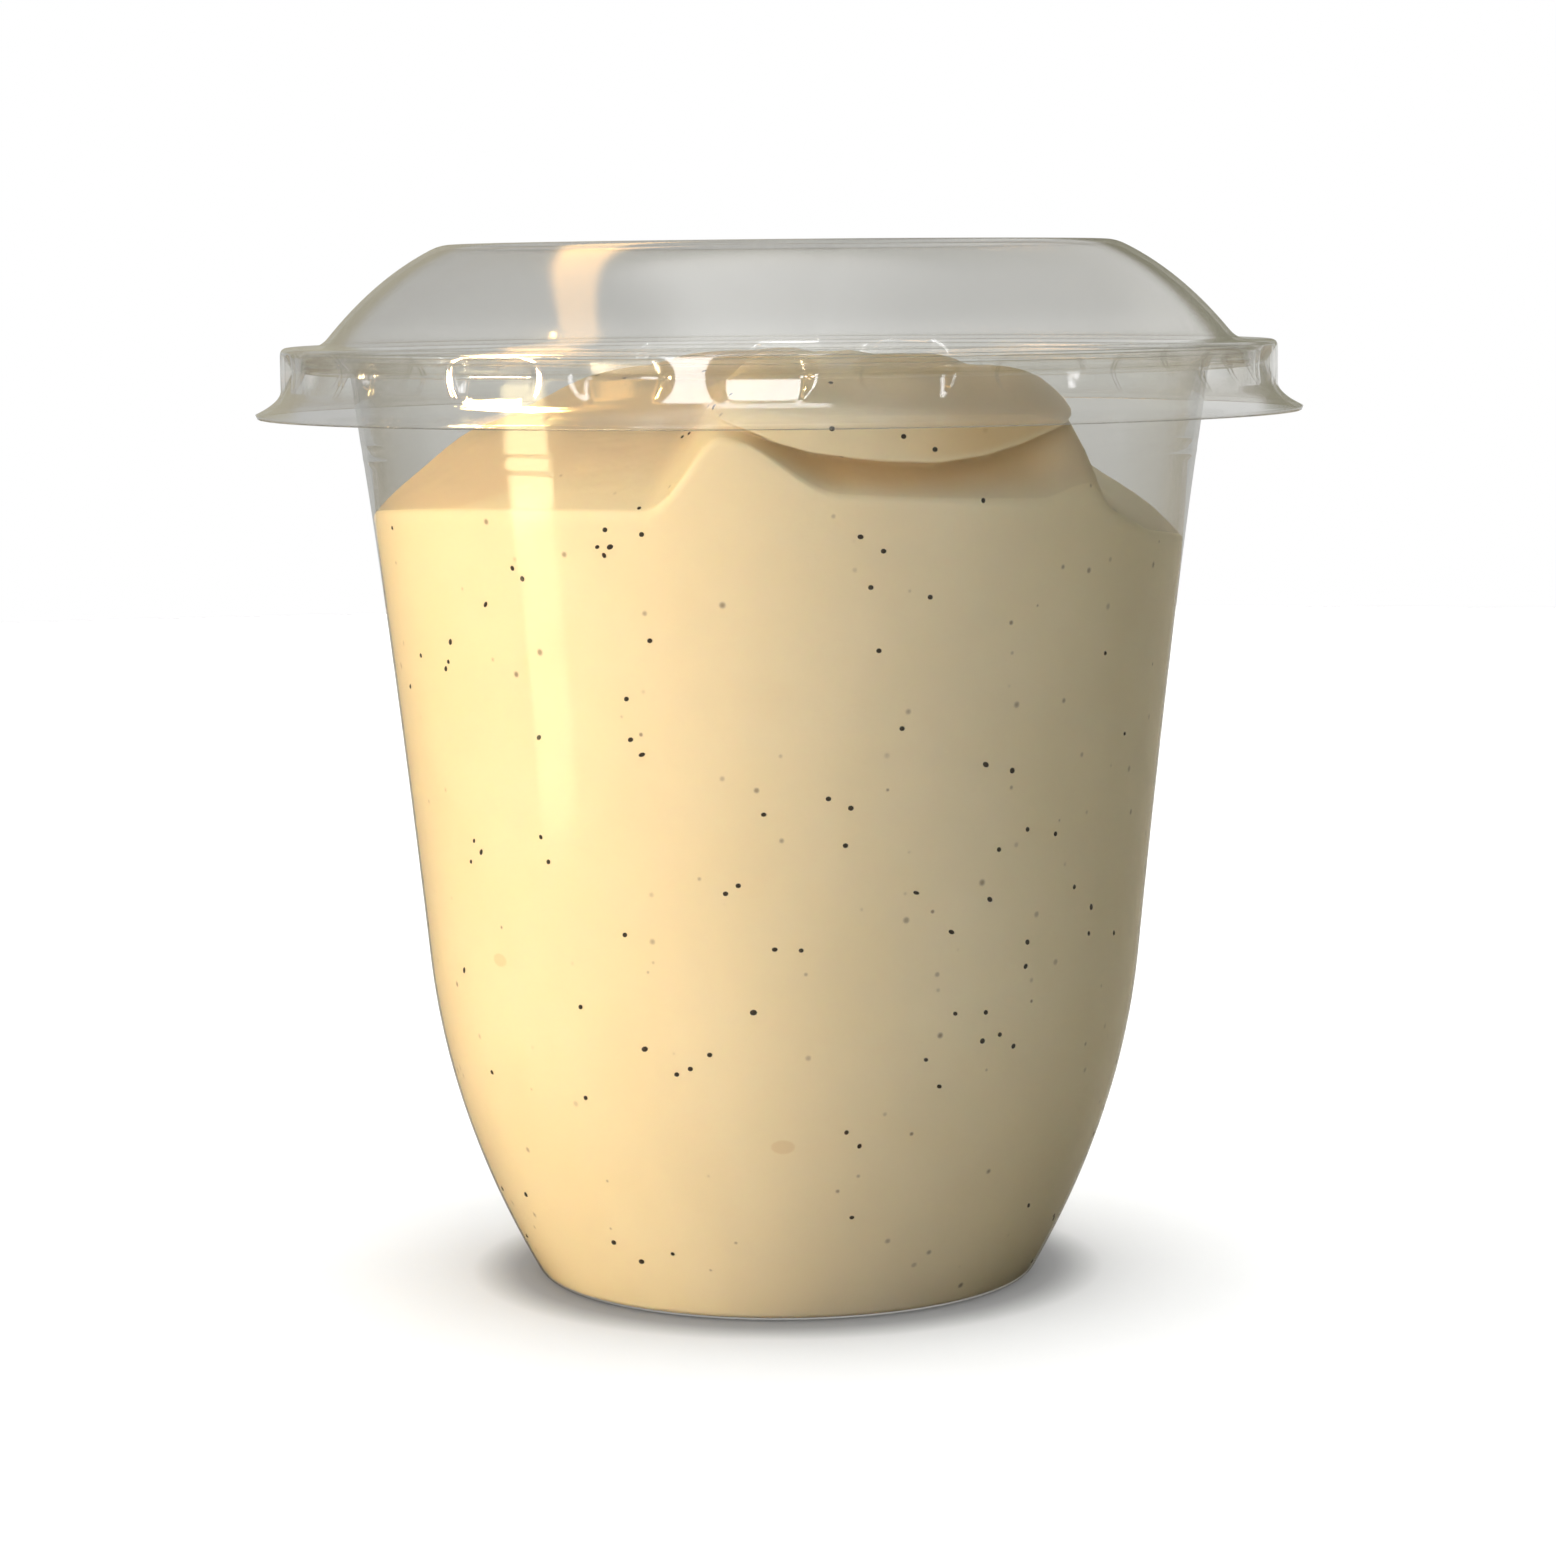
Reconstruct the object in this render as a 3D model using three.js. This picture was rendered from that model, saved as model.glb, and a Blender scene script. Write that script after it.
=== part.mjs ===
// A lidded dessert tub: a deep clear cup with a curled rim, a clear press-on lid, and
// vanilla ice cream piled inside up to the rim. Three separate pieces, in millimetres,
// +Z up, with the origin on the surface the tub stands on, at the middle of its foot.
// The front of the tub faces -Y. Angles round the tub are counted from the front,
// growing towards +X.
import * as THREE from 'three';
import { ParametricGeometry } from 'three/addons/geometries/ParametricGeometry.js';
import { mergeVertices } from 'three/addons/utils/BufferGeometryUtils.js';

// ---------------------------------------------------------------- driving dimensions

// Cup: outside radii and heights.
const CUP_WALL = 0.5;
const FOOT_PUSH_UP = 1.4;          // how far the floor is raised above the standing ring
const PUSH_UP_RADIUS = 19.8;
const FOOT_RING_INNER = 22.4;
const FOOT_RING_OUTER = 24.7;
const HEEL = { radius: 26.0, height: 0.75 };
const BELLY = { radius: 36.6, height: 33 };      // where the bowl turns into the straight wall
const WALL_TOP = { radius: 43.3, height: 90 };
const FLANGE_UNDERSIDE = 94.75;
const FLANGE_START_RADIUS = 45.6;
const RIM_RADIUS = 49.0;           // a rim 98 mm across
const CURL_RADIUS = 0.95;          // outside radius of the curled hem
const CURL_SWEEP = 200;            // degrees

// Lid: outside radii and heights.
const LID_WALL = 0.45;
const LID_TOP = 106.2;
const TOP_PANEL_RADIUS = 33.3;
const DOME_SHOULDER = { radius: 35.3, height: 105.7 };
const DOME_FOOT = { radius: 45.8, height: 97.0 };
const LEDGE_HEIGHT = 96.0;
const LEDGE_INNER_RADIUS = 47.7;
const SKIRT_RADIUS = 50.7;
const LEDGE_ROUNDING = 0.8;
const FLARE_START = 91.6;
const FLARE_CORNER = { radius: 50.85, height: 90.45 };
const SKIRT_TIP = { radius: 53.35, height: 89.3 };

// Lugs pressed into the lid's skirt, which catch under the cup's rim.
const LUG_COUNT = 24;
const LUG_PHASE = -1.7;            // degrees from the front to the nearest lug's middle
const LUG_HALF_WIDTH = 5.3;        // degrees
const LUG_FLOOR_HALF_WIDTH = 3.9;  // degrees
const LUG_DEPTH = 1.2;
const LUG_TOP_HEIGHT = 95.6;
const LUG_CREASE_HEIGHT = 93.7;    // where a lug is deepest
const LUG_FOOT_HEIGHT = 91.2;

// Ice cream.
const CLEARANCE = 0.3;             // air left between the ice cream and the cup's wall
const MOUND_TOP = 95.2;
const CONTACT_LEVEL = 77.4;        // mean height up to which it wets the wall at the sides
const FRONT_RISE = 2.9;            // the wetted line is higher at the front
const RIGHT_DROP = 1.55;           // and lower at the right
const BACK_RISE = 0.25;
// Stretches round the tub, in degrees. Each grows from nothing, is full between its middle
// two angles and fades out again.
const SHOULDER = { from: -18, full: -7, fade: -5, to: 8, rise: 6.4 };    // wetted higher
const BENCH = { from: -2, full: 8, fade: 34, to: 48, rise: 1.6 };
const HUMP = { from: 36, full: 43, fade: 50, to: 63, rise: 1.6 };
const LOBE = { from: -14, full: 8, fade: 34, to: 52 };         // the last helping folds over
const LEAN_SIDE = { from: 20, full: 65, fade: 110, to: 170 };  // the mound is leaner here
const LOBE_LIP = { angle: 17.5, height: 85.6, rise: 4.0, halfWidth: 24 };
const LIP_MIN_RISE = 1.4;          // least height of the crevice under the lobe
const LIP_HIGHEST_SHARE = 0.85;    // of the flank
const CREVICE_DEPTH = 6.5;
const MOUND_ROUNDNESS = { side: 1.1, top: 2.1 };
const LEAN_ROUNDNESS = 1.6;
const LOBE_ROUNDNESS = { side: 9.0, top: 2.2 };
const LAST_WALL_HEIGHT = 91;       // above this the section of the heap follows a straight wall
const SIDE_SHARE = 0.75;           // radius share at which a section turns from side to top
const SWIRL = { height: 0.7, pitch: 13 };

// Fineness of the meshes.
const CUP_SEGMENTS = 60;
const ICE_SEGMENTS = 54;
const ICE_WALL_ROWS = 8;
const HEAP_STEPS = [0.4, 0.75, 1, 1.3, 1.6, 1.8, 2, 2.2, 2.4, 2.6, 2.75, 2.9, 3];   // see heapPoint

// ---------------------------------------------------------------- sections

const DEGREE = Math.PI / 180;
const point = (radius, height) => new THREE.Vector2(radius, height);
const at = (place) => point(place.radius, place.height);
const smoothstep = (low, high, x) => THREE.MathUtils.smoothstep(x, low, high);

// A rounded stretch of a section, without its first point.
function bend(from, corner, to, steps) {
  return new THREE.QuadraticBezierCurve(from, corner, to).getPoints(steps).slice(1);
}

// A section moved sideways by a wall's thickness, to the left of its direction.
// A point on the axis stays on the axis.
function offsetSection(section, distance) {
  return section.map((here, i) => {
    const before = section[Math.max(i - 1, 0)];
    const after = section[Math.min(i + 1, section.length - 1)];
    const into = here.clone().sub(before).normalize();
    const out = after.clone().sub(here).normalize();
    const along = into.add(out).normalize();
    const moved = point(here.x - along.y * distance, here.y + along.x * distance);
    return here.x === 0 ? point(0, moved.y) : moved;
  });
}

// The cup's outside, from the middle of its underside to the end of its curled hem.
function cupSection() {
  const curlCentre = point(RIM_RADIUS - CURL_RADIUS, FLANGE_UNDERSIDE + CUP_WALL - CURL_RADIUS);
  const curlInside = CURL_RADIUS - CUP_WALL;
  const curlSteps = 4;
  const curl = [];
  for (let step = 0; step <= curlSteps; step += 1) {
    const angle = (90 - CURL_SWEEP * step / curlSteps) * DEGREE;
    curl.push(point(curlCentre.x + curlInside * Math.cos(angle), curlCentre.y + curlInside * Math.sin(angle)));
  }
  const filletStart = point(43.6, 92.6);
  return [
    point(0, FOOT_PUSH_UP),
    point(PUSH_UP_RADIUS, FOOT_PUSH_UP),
    point(FOOT_RING_INNER, 0),
    point(FOOT_RING_OUTER, 0),
    ...bend(point(FOOT_RING_OUTER, 0), point(25.6, 0), at(HEEL), 2),
    ...bend(at(HEEL), point(34.9, 16.6), at(BELLY), 4),
    ...bend(at(BELLY), point(40.1, 68.6), at(WALL_TOP), 3),
    filletStart,
    ...bend(filletStart, point(44.0, FLANGE_UNDERSIDE), point(FLANGE_START_RADIUS, FLANGE_UNDERSIDE), 2),
    ...curl,
  ];
}

// The lid's outside, from the middle of its top to the tip of its skirt.
function lidSection() {
  const panelEdge = point(TOP_PANEL_RADIUS, LID_TOP);
  const ledgeInner = point(LEDGE_INNER_RADIUS, LEDGE_HEIGHT);
  const ledgeOuter = point(SKIRT_RADIUS - LEDGE_ROUNDING, LEDGE_HEIGHT);
  const skirtTop = point(SKIRT_RADIUS, LEDGE_HEIGHT - LEDGE_ROUNDING);
  const crease = point(SKIRT_RADIUS, LUG_CREASE_HEIGHT);
  const flareStart = point(SKIRT_RADIUS, FLARE_START);
  return [
    point(0, LID_TOP),
    panelEdge,
    ...bend(panelEdge, point(34.3, LID_TOP), at(DOME_SHOULDER), 2),
    ...bend(at(DOME_SHOULDER), point(40.9, 102.9), at(DOME_FOOT), 3),
    ...bend(at(DOME_FOOT), point(46.6, LEDGE_HEIGHT), ledgeInner, 2),
    ledgeOuter,
    ...bend(ledgeOuter, point(SKIRT_RADIUS, LEDGE_HEIGHT), skirtTop, 2),
    crease,
    flareStart,
    ...bend(flareStart, at(FLARE_CORNER), at(SKIRT_TIP), 4),
  ];
}

// ---------------------------------------------------------------- solids

// A closed surface of rings: ring(angle, row) gives the radius and height of each point.
// Rows run from one point on the axis to another, with the inside on their left.
function ringSolid(angles, rows, ring) {
  const place = (u, v, target) => {
    const angle = angles[Math.round(u * angles.length) % angles.length];
    const { x: radius, y: height } = ring(angle, Math.round(v * (rows - 1)));
    target.set(radius * Math.sin(angle * DEGREE), -radius * Math.cos(angle * DEGREE), height);
  };
  const surface = new ParametricGeometry(place, angles.length, rows - 1);
  surface.deleteAttribute('normal');
  surface.deleteAttribute('uv');
  const merged = mergeVertices(surface, 1e-4);
  const corners = merged.index.array;
  const kept = [];
  for (let i = 0; i < corners.length; i += 3) {
    const [a, b, c] = corners.slice(i, i + 3);
    if (a !== b && b !== c && c !== a) kept.push(a, b, c);
  }
  merged.setIndex(kept);
  merged.computeVertexNormals();
  return merged;
}

// Evenly spaced angles, from the back round through the front.
function evenAngles(count) {
  return Array.from({ length: count }, (_, i) => -180 + 360 * i / count);
}

// Four angles for each lug: the two edges of its floor and the two ends of its slopes.
function lugAngles() {
  const pitch = 360 / LUG_COUNT;
  const across = [-LUG_HALF_WIDTH, -LUG_FLOOR_HALF_WIDTH, LUG_FLOOR_HALF_WIDTH, LUG_HALF_WIDTH];
  return Array.from({ length: LUG_COUNT }, (_, i) => across.map((a) => LUG_PHASE - 180 + i * pitch + a)).flat();
}

// How deep a lug presses the skirt in, at an angle and a height.
function lugDepth(angle, height) {
  const halfPitch = 180 / LUG_COUNT;
  const turned = THREE.MathUtils.euclideanModulo(angle - LUG_PHASE + halfPitch, 2 * halfPitch);
  const fromMiddle = Math.abs(turned - halfPitch);
  const across = THREE.MathUtils.clamp(
    (LUG_HALF_WIDTH - fromMiddle) / (LUG_HALF_WIDTH - LUG_FLOOR_HALF_WIDTH), 0, 1);
  const above = (LUG_TOP_HEIGHT - height) / (LUG_TOP_HEIGHT - LUG_CREASE_HEIGHT);
  const below = (height - LUG_FOOT_HEIGHT) / (LUG_CREASE_HEIGHT - LUG_FOOT_HEIGHT);
  return LUG_DEPTH * across * Math.max(Math.min(above, below), 0);
}

function cupGeometry() {
  const outside = cupSection();
  const inside = offsetSection(outside, CUP_WALL);
  const section = [...outside, ...inside.reverse()];
  return ringSolid(evenAngles(CUP_SEGMENTS), section.length, (angle, row) => section[row]);
}

function lidGeometry() {
  const outside = lidSection();
  const inside = offsetSection(outside, -LID_WALL);
  const section = [...inside, ...outside.reverse()];
  return ringSolid(lugAngles(), section.length, (angle, row) => {
    const { x: radius, y: height } = section[row];
    return point(radius - lugDepth(angle, height), height);
  });
}

// ---------------------------------------------------------------- ice cream

const iceShell = offsetSection(cupSection(), CUP_WALL + CLEARANCE);

// Radius of the ice cream where it follows the cup's wall.
function wallRadius(height) {
  const level = Math.min(height, LAST_WALL_HEIGHT);
  const above = iceShell.findIndex((place, i) => i > 4 && place.y > level);
  const [low, high] = [iceShell[above - 1], iceShell[above]];
  return THREE.MathUtils.mapLinear(level, low.y, high.y, low.x, high.x);
}

// 1 between the two middle angles of a stretch, 0 outside it.
function shareOf(stretch, angle) {
  return smoothstep(stretch.from, stretch.full, angle) * (1 - smoothstep(stretch.fade, stretch.to, angle));
}

// Height up to which the ice cream lies against the wall.
function contactHeight(angle) {
  const turn = angle * DEGREE;
  const raised = [SHOULDER, BENCH, HUMP].reduce((sum, zone) => sum + zone.rise * shareOf(zone, angle), 0);
  return CONTACT_LEVEL + FRONT_RISE * Math.cos(turn) - RIGHT_DROP * Math.sin(turn)
    + BACK_RISE * Math.cos(2 * turn) + raised;
}

// Height of the lobe's lower lip, kept within the flank where there is no lobe.
function lipHeight(angle, low, turn) {
  const lip = LOBE_LIP.height + LOBE_LIP.rise * ((angle - LOBE_LIP.angle) / LOBE_LIP.halfWidth) ** 2;
  return THREE.MathUtils.clamp(lip, low + LIP_MIN_RISE, low + LIP_HIGHEST_SHARE * (turn - low));
}

// The heap above the wetted line, a section from the wall (t = 0) to the axis (t = 3):
// up the crevice under the lobe (0 to 1), up the flank (1 to 2) and over the crown (2 to 3).
function heapPoint(angle, t) {
  const share = shareOf(LOBE, angle);
  const moundTop = THREE.MathUtils.lerp(MOUND_ROUNDNESS.top, LEAN_ROUNDNESS, shareOf(LEAN_SIDE, angle));
  const sideExponent = THREE.MathUtils.lerp(MOUND_ROUNDNESS.side, LOBE_ROUNDNESS.side, share);
  const topExponent = THREE.MathUtils.lerp(moundTop, LOBE_ROUNDNESS.top, share);
  const low = contactHeight(angle);
  const rise = MOUND_TOP - low;
  const turn = low + rise * (1 - SIDE_SHARE ** topExponent) ** (1 / sideExponent);
  const lip = lipHeight(angle, low, turn);
  let height = t < 1 ? low + (lip - low) * t : lip + (turn - lip) * (t - 1);
  let radiusShare = (1 - ((height - low) / rise) ** sideExponent) ** (1 / topExponent);
  if (t > 2) {
    radiusShare = SIDE_SHARE * (3 - t);
    height = low + rise * (1 - radiusShare ** topExponent) ** (1 / sideExponent);
  }
  const crevice = t < 1 ? CREVICE_DEPTH * share * t ** 1.6 * (1 - t ** 9) : 0;
  const radius = (wallRadius(height) - crevice) * radiusShare;
  const swirl = SWIRL.height * radiusShare * (height - low) / rise
    * Math.sin(angle * DEGREE - 2 * Math.PI * radius / SWIRL.pitch);
  return point(radius, height + swirl);
}

function iceCreamGeometry() {
  const floor = iceShell.slice(0, 5);
  const bottom = floor[floor.length - 1].y;
  const rows = floor.length + ICE_WALL_ROWS + HEAP_STEPS.length;
  return ringSolid(evenAngles(ICE_SEGMENTS), rows, (angle, row) => {
    if (row < floor.length) return floor[row];
    const wallRow = row - floor.length + 1;
    if (wallRow <= ICE_WALL_ROWS) {
      const height = bottom + (contactHeight(angle) - bottom) * wallRow / ICE_WALL_ROWS;
      return point(wallRadius(height), height);
    }
    const heapRow = wallRow - ICE_WALL_ROWS;
    return heapRow === HEAP_STEPS.length ? point(0, MOUND_TOP) : heapPoint(angle, HEAP_STEPS[heapRow - 1]);
  });
}

// ---------------------------------------------------------------- the tub

const clearPlastic = (color) => new THREE.MeshStandardMaterial({
  color, roughness: 0.08, metalness: 0, transparent: true, opacity: 0.35,
});

function named(name, geometry, material) {
  const mesh = new THREE.Mesh(geometry, material);
  mesh.name = name;
  return mesh;
}

const tub = new THREE.Group();
tub.add(
  named('cup', cupGeometry(), clearPlastic(0xd9dcd8)),
  named('lid', lidGeometry(), clearPlastic(0xc6c8c6)),
  named('ice_cream', iceCreamGeometry(), new THREE.MeshStandardMaterial({
    color: 0xf1ddb0, roughness: 0.55, metalness: 0,
  })),
);

export default tub;
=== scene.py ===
"""A lidded tub of vanilla ice cream: a deep clear cup with a curled rim, a clear press-on
lid with lugs round its skirt, the ice cream heaped inside, and the vanilla seeds in it.

Sections are in millimetres, as (radius, height) pairs. Meshes are in metres.
Angles round the tub are in degrees from the front (-Y), growing towards +X."""
import math

import bpy
import numpy as np
from mathutils import Matrix, Vector, noise


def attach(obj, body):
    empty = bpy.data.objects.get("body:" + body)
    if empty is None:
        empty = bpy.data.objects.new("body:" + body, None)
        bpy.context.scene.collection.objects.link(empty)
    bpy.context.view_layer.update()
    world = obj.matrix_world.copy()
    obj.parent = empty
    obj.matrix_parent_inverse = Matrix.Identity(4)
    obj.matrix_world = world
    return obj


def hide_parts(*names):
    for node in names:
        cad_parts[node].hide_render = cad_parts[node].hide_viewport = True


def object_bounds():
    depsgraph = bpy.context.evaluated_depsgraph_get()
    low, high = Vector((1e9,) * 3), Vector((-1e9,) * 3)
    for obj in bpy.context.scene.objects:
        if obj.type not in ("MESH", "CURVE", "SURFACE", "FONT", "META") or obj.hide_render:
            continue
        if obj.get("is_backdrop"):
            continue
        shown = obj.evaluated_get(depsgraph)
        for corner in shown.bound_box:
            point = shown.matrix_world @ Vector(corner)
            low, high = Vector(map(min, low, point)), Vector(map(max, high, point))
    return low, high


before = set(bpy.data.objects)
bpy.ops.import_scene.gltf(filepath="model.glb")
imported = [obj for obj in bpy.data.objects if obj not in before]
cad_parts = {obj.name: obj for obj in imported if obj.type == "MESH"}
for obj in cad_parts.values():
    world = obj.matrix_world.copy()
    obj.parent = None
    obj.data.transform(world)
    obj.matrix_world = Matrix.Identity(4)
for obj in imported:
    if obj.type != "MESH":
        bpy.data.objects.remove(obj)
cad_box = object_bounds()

MM = 0.001

# ---------------------------------------------------------------- named sizes, in mm

CUP_WALL = 0.5
PUSH_UP = (19.8, 1.4)
FOOT_RING = (22.4, 24.7)
HEEL_CORNER = (25.6, 0)
HEEL = (26.0, 0.75)
BOWL_CORNER = (34.9, 16.6)
BELLY = (36.6, 33.0)
WALL_CORNER = (40.1, 68.6)
WALL_TOP = (43.3, 90.0)
FLANGE_FILLET = (43.6, 92.6)
FLANGE_CORNER = 44.0
FLANGE_UNDERSIDE = 94.75
FLANGE_START = 45.6
RIM_RADIUS = 49.0
CURL_RADIUS = 0.95
CURL_SWEEP = 200
CURL_STEPS = 14
CUP_ROUNDING = 0.5
WALL_BEADS = ((86.35, 0.020), (84.75, 0.026))   # height and relief of the two fine rings
BEAD_HALF_WIDTH = 0.35
BEAD_ROWS = (83.6, 87.4, 0.12)                  # the rings' mesh rows: from, to and spacing
CUP_SEGMENTS = 240

LID_WALL = 0.45
LID_TOP = 106.2
TOP_PANEL_RADIUS = 33.3
PANEL_MARGIN = 4
PANEL_CORNER = 34.3
DOME_SHOULDER = (35.3, 105.7)
DOME_CORNER = (40.9, 102.9)
DOME_FOOT = (45.8, 97.0)
DOME_FOOT_CORNER = 46.6
LEDGE_HEIGHT = 96.0
LEDGE_INNER = 47.7
SKIRT_RADIUS = 50.7
LEDGE_ROUNDING = 0.8
FLARE_START = 91.6
FLARE_CORNER = (50.85, 90.45)
SKIRT_TIP = (53.29, 89.3)
LID_ROUNDING = 0.12

LUG_COUNT = 24
LUG_PHASE = -1.7
LUG_HALF_WIDTH = 5.3
LUG_END_WIDTH = 1.0
LUG_DEPTH = 1.2
LUG_TOP = 95.6
LUG_CREASE = 93.7
LUG_FOOT = 91.2
LUG_TAPER = 0.26            # share of its width that a lug loses towards its top and foot
LUG_ROWS = (LUG_FOOT, LUG_TOP + 0.1, 0.3)       # the lugs' mesh rows: from, to and spacing
LUG_FLOOR_SHARE = 0.25      # how far from its middle a lug's columns reach: the flat floor
LUG_END_SHARE = 0.375       # and the rounded ends, as shares of the pitch
COLUMNS_PER_LUG = 24

BED_SINK = 0.30             # how far the ice cream's skin reaches into the cup's wall
BED_TOP = 91                # height at which the skin's wall section is cut off, above the heap's edge
BED_UNDERSIDE_POINTS = 5    # points of that section before it rises
EVEN_ROWS_START = 55        # height from which the wall's rows follow the contact line
WALL_ROWS = 26
MOUND_TOP = 95.2
CONTACT_LEVEL = 77.4
FRONT_RISE = 2.9
RIGHT_DROP = 1.55
TWICE_ROUND_RISE = 0.25     # wave of the contact line with two crests round the wall
SHOULDER_RISE, SHOULDER = 6.4, (-18, -7, -5, 8)     # each: starts, full, fades, ends, in degrees
BENCH_RISE, BENCH = 1.6, (-2, 8, 34, 48)
HUMP_RISE, HUMP = 1.6, (36, 43, 50, 63)
LOBE = (-14, 8, 34, 52)
LEAN_SIDE = (20, 65, 110, 170)
LIP_ANGLE, LIP_HEIGHT, LIP_RISE, LIP_HALF_WIDTH = 17.5, 85.6, 4.0, 24
LIP_MIN_RISE, LIP_MAX_SHARE = 1.4, 0.85
CREVICE_DEPTH = 6.5
MOUND_ROUNDNESS = (1.1, 2.1)
LEAN_ROUNDNESS = 1.6
LOBE_ROUNDNESS = (9.0, 2.2)
SIDE_SHARE = 0.75
SWIRL_HEIGHT, SWIRL_PITCH = 0.7, 13
LUMPS = ((0.34, 7.5, (0, 0, 0)), (0.16, 2.8, (9, 4, 7)), (0.05, 0.9, (0, 0, 0)))   # height, size, shift
LUMP_LEAN, LUMP_REACH = 0.4, 40                 # a 1 mm lump pulls the skin in this far, at this radius
LUMP_ROWS = 9               # rows above the contact line over which the lumps set in
ICE_COLUMNS = 288

# The heap's painted shade: a deeper, more orange tint in the crevice under the lobe and on its face,
# and a darker tint where the heap stands clear of the wall.
LIP_SHADE_FULL = 0.6        # step of the heap's section at which the crevice's painted shade is full
FACE_SHADE, FACE_SHADE_SIDE = 0.75, (8, 28)     # share of painted shade on the lobe's face, and where it sets in
FACE_SHADE_STEPS = (0.9, 1.1, 2.0, 2.4)         # steps of the section: starts, full, fades, ends
AIR_SHADE_GAP = (0.8, 8.0)        # gap to the wall at which the painted shade clear of the wall is full: most, soft side
SOFT_SIDE = (-50, -30, 0, 12)
RIGHT_SIDE = (38, 55, 150, 180)
AIR_SHADE_LOST = 0.7              # share of that painted shade that the lobe and the right side lose

SEED_START = 44             # radius from which the front seeds drop onto the ice cream
FRONT_SEEDS = (             # the seeds that show most through the front wall: angle, height
    (-18.3, 78.5), (-23.4, 78.9), (-18.0, 68.3), (-21.9, 62.6), (-37.0, 46.1), (-8.5, 43.8),
    (-6.7, 44.6), (-24.4, 39.4), (-33.1, 31.7), (-11.8, 27.3), (-14.9, 25.5), (-17.2, 24.8),
    (-34.3, 21.1), (20.1, 72.2), (11.8, 73.3), (13.1, 67.2), (16.7, 59.6), (6.4, 53.0),
    (8.9, 48.4), (38.2, 48.8), (33.1, 47.1), (44.1, 48.0), (32.3, 30.8), (35.5, 28.0),
    (6.5, 88.6), (15.6, 87.7), (19.7, 86.4))


# ---------------------------------------------------------------- sections

def bend(start, corner, end, steps):
    """A rounded stretch of a section, without its first point."""
    points = []
    for i in range(1, steps + 1):
        t = i / steps
        weights = ((1 - t) ** 2, 2 * t * (1 - t), t * t)
        points.append(tuple(sum(w * p[k] for w, p in zip(weights, (start, corner, end)))
                            for k in (0, 1)))
    return points


def offset_section(section, distance):
    """The section moved sideways by a wall's thickness, to the left of its direction."""
    points = [Vector(p) for p in section]
    moved = []
    for i, here in enumerate(points):
        into = (here - points[max(i - 1, 0)]).normalized()
        out = (points[min(i + 1, len(points) - 1)] - here).normalized()
        along = (into + out).normalized()
        radius = 0.0 if here.x == 0 else here.x - along.y * distance
        moved.append((radius, here.y + along.x * distance))
    return moved


def soften(section, reach, steps=3, least_turn=18):
    """Rounds each corner of a section that turns by more than least_turn degrees."""
    points = [Vector(p) for p in section]
    soft = [section[0]]
    for before, here, after in zip(points, points[1:], points[2:]):
        into, out = here - before, after - here
        if math.degrees(into.angle(out, 0)) < least_turn:
            soft.append(tuple(here))
            continue
        start = here - into.normalized() * min(reach, 0.45 * into.length)
        end = here + out.normalized() * min(reach, 0.45 * out.length)
        soft += [tuple(start), *bend(start, here, end, steps)]
    return soft + [section[-1]]


def with_rows(section, low, high, spacing):
    """Adds points to the stretch between two heights, so that fine relief can follow."""
    fine = [section[0]]
    for start, end in zip(section, section[1:]):
        middle = (start[1] + end[1]) / 2
        length = math.dist(start, end)
        steps = math.ceil(length / spacing) if low < middle < high else 1
        for i in range(1, steps + 1):
            fine.append(tuple(start[k] + (end[k] - start[k]) * i / steps for k in (0, 1)))
    return fine


def cup_outside():
    """From the middle of the cup's underside to the end of its curled hem."""
    centre = (RIM_RADIUS - CURL_RADIUS, FLANGE_UNDERSIDE + CUP_WALL - CURL_RADIUS)
    inside = CURL_RADIUS - CUP_WALL
    turns = [math.radians(90 - CURL_SWEEP * i / CURL_STEPS) for i in range(CURL_STEPS + 1)]
    curl = [(centre[0] + inside * math.cos(a), centre[1] + inside * math.sin(a)) for a in turns]
    flange_start = (FLANGE_START, FLANGE_UNDERSIDE)
    return [
        (0, PUSH_UP[1]), PUSH_UP, (FOOT_RING[0], 0), (FOOT_RING[1], 0),
        *bend((FOOT_RING[1], 0), HEEL_CORNER, HEEL, 5),
        *bend(HEEL, BOWL_CORNER, BELLY, 22),
        *bend(BELLY, WALL_CORNER, WALL_TOP, 26),
        FLANGE_FILLET,
        *bend(FLANGE_FILLET, (FLANGE_CORNER, FLANGE_UNDERSIDE), flange_start, 7),
        *curl,
    ]


def lid_outside():
    """From the middle of the lid's top to the tip of its skirt."""
    panel_edge = (TOP_PANEL_RADIUS, LID_TOP)
    ledge_inner = (LEDGE_INNER, LEDGE_HEIGHT)
    ledge_outer = (SKIRT_RADIUS - LEDGE_ROUNDING, LEDGE_HEIGHT)
    skirt_top = (SKIRT_RADIUS, LEDGE_HEIGHT - LEDGE_ROUNDING)
    flare_start = (SKIRT_RADIUS, FLARE_START)
    return [
        (0, LID_TOP), (TOP_PANEL_RADIUS - PANEL_MARGIN, LID_TOP), panel_edge,
        *bend(panel_edge, (PANEL_CORNER, LID_TOP), DOME_SHOULDER, 5),
        *bend(DOME_SHOULDER, DOME_CORNER, DOME_FOOT, 18),
        *bend(DOME_FOOT, (DOME_FOOT_CORNER, LEDGE_HEIGHT), ledge_inner, 5),
        ledge_outer,
        *bend(ledge_outer, (SKIRT_RADIUS, LEDGE_HEIGHT), skirt_top, 5),
        flare_start,
        *bend(flare_start, FLARE_CORNER, SKIRT_TIP, 14),
    ]


def beaded(section):
    """Presses the two fine rings into the upper wall."""
    return [(r + sum(relief * math.exp(-((z - height) / BEAD_HALF_WIDTH) ** 2)
                     for height, relief in WALL_BEADS), z)
            for r, z in with_rows(section, *BEAD_ROWS)]


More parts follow.
